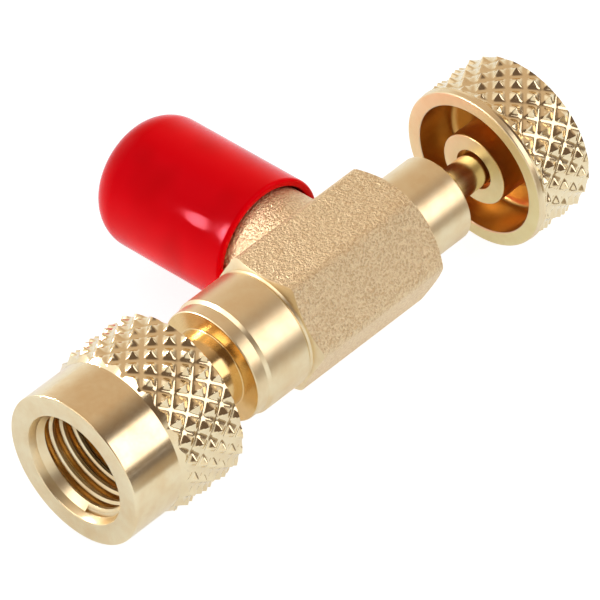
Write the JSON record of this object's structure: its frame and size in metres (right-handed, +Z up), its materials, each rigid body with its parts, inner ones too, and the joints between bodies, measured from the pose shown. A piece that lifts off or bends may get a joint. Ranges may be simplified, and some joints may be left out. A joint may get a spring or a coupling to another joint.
{
  "type": "refrigerant charging valve",
  "caption": "Brass tee valve with a knurled swivel nut, a hand screwed core-pressing spindle with a knurled knob, and a capped flare side port.",
  "frame": {"origin": "on the main axis, where the full thread of the swivel nut starts behind its entry bore", "axes": "+X along the main axis from the nut to the knob, +Y along the side port towards its cap, +Z up"},
  "size_m": [0.059, 0.033, 0.017],
  "materials": {
    "body_brass": "forged and sand-blasted hexagon and branch, satin turned collar, neck and tail",
    "nut_brass": "satin turned front, sharp diamond knurl",
    "ring_wire": "drawn spring wire",
    "gasket_rubber": "moulded, matt",
    "spindle_brass": "polished shank",
    "o_ring_rubber": "moulded, lightly greased",
    "knob_brass": "satin turned rim and hub, sharp diamond knurl",
    "screw_brass": "turned, slotted",
    "cap_vinyl": "dipped, glossy, soft"
  },
  "bodies": {
    "body": {"valve_body": "body_brass", "seat_gasket": "gasket_rubber"},
    "nut_carrier": {"nut_snap_ring": "ring_wire"},
    "nut": {"swivel_nut": "nut_brass"},
    "spindle_slide": {"spindle_o_ring": "o_ring_rubber"},
    "spindle_knob": {"spindle": "spindle_brass", "knob": "knob_brass", "knob_screw": "screw_brass"},
    "cap": {"dust_cap": "cap_vinyl"}
  },
  "joints": [
    {"name": "nut_slide", "type": "slide", "parent": "body", "child": "nut_carrier", "axis": [1, 0, 0], "range_m": [0, 0.0042]},
    {"name": "nut_spin", "type": "hinge", "parent": "nut_carrier", "child": "nut", "pos_m": [0.0045, 0, 0], "axis": [1, 0, 0], "continuous": true},
    {"name": "spindle_feed", "type": "slide", "parent": "body", "child": "spindle_slide", "axis": [1, 0, 0], "range_m": [-0.004, 0]},
    {"name": "knob_turn", "type": "hinge", "parent": "spindle_slide", "child": "spindle_knob", "pos_m": [0.0529, 0, 0], "axis": [1, 0, 0], "range_deg": [-1800, 0]},
    {"name": "cap_pull", "type": "slide", "parent": "body", "child": "cap", "axis": [0, 1, 0], "range_m": [0, 0.014]}
  ],
  "couplings": [
    {"joint": "spindle_feed", "follows": "knob_turn", "m_per_rad": 0.00012732}
  ]
}
